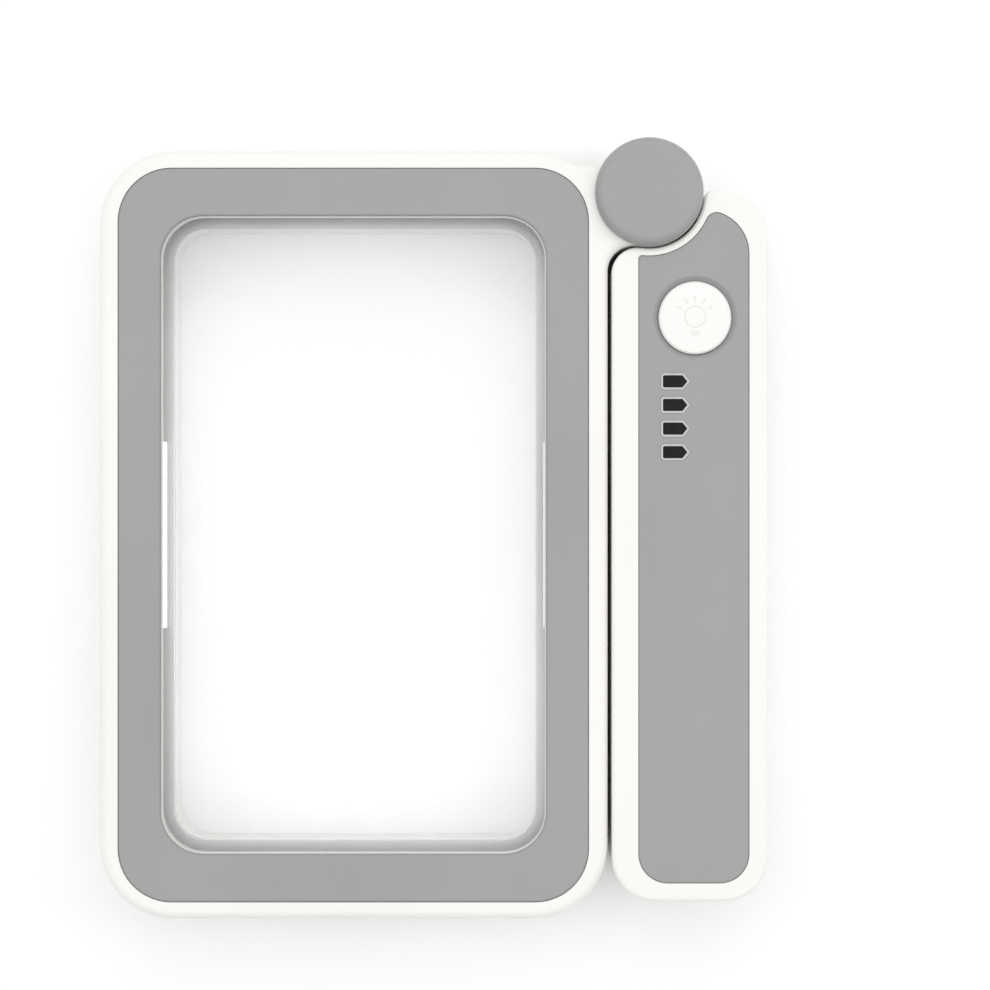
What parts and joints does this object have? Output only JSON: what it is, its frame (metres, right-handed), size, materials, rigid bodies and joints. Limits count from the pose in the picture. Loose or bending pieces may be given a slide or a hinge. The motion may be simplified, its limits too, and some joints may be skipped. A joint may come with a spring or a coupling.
{
  "type": "folding lighted page magnifier",
  "caption": "Rectangular page magnifier: clear lens in a lit frame, with a side handle that folds on a round pivot and carries a push button, charge marks and a rechargeable cell.",
  "frame": {"origin": "centre of the folded magnifier's footprint, on the rear face it rests on", "axes": "+Z out of the front face toward the user, +Y up the frame toward the pivot, +X from the frame toward the handle"},
  "size_m": [0.1372, 0.1604, 0.023],
  "materials": {
    "housing": "satin moulded, fine texture",
    "trim": "satin grey moulded",
    "button": "satin",
    "lens": "clear polished acrylic",
    "foam": "pale silicone",
    "diffuser": "milky diffuser",
    "strip_board": "white solder mask",
    "led": "phosphor coated",
    "steel": "turned",
    "nylon": "natural nylon",
    "screw": "zinc plated",
    "switch_case": "moulded",
    "guide": "pale translucent",
    "smoked": "smoked, polished",
    "board": "green solder mask",
    "chip": "moulded epoxy",
    "cell_wrap": "can in a coloured film",
    "nickel": "nickel plated",
    "lead_white": "insulation",
    "lead_red": "insulation",
    "lead_black": "insulation",
    "plunger": "moulded"
  },
  "bodies": {
    "head": {"head_front_cover": "housing", "head_rear_cover": "housing", "head_trim": "trim", "lens": "lens", "lens_gasket": "foam", "light_windows": "diffuser", "led_strip_left": "strip_board", "led_strip_right": "strip_board", "side_leds": "led", "hinge_pin": "steel", "hinge_friction_washer": "nylon", "hinge_spring_washer": "steel", "hinge_nut": "steel", "hinge_knob": "trim", "hinge_rear_cap": "trim", "head_lead": "lead_white", "led_link_lead": "lead_white", "head_screws": "screw"},
    "handle": {"handle_front_shell": "housing", "handle_rear_shell": "housing", "handle_panel": "trim", "push_switch": "switch_case", "indicator_guide": "guide", "indicator_windows": "smoked", "indicator_leds": "led", "main_board": "board", "board_parts": "chip", "battery_cell": "cell_wrap", "battery_tabs": "nickel", "charging_socket": "nickel", "socket_board": "board", "handle_lead": "lead_white", "battery_lead_plus": "lead_red", "battery_lead_minus": "lead_black", "socket_leads": "lead_black", "handle_screws": "screw"},
    "button": {"power_button": "button"},
    "plunger": {"switch_plunger": "plunger"}
  },
  "joints": [
    {"name": "handle_fold", "type": "hinge", "parent": "head", "child": "handle", "pos_m": [0.04425, 0.0691, 0.01], "axis": [0, 0, 1], "range_deg": [0, 135]},
    {"name": "button_press", "type": "slide", "parent": "handle", "child": "button", "axis": [0, 0, -1], "range_m": [0, 0.0005], "stiffness_N_per_m": 3000, "springref_m": -0.0002},
    {"name": "plunger_press", "type": "slide", "parent": "handle", "child": "plunger", "axis": [0, 0, -1], "range_m": [0, 0.0005]}
  ],
  "couplings": [
    {"joint": "plunger_press", "follows": "button_press", "ratio": 1}
  ]
}
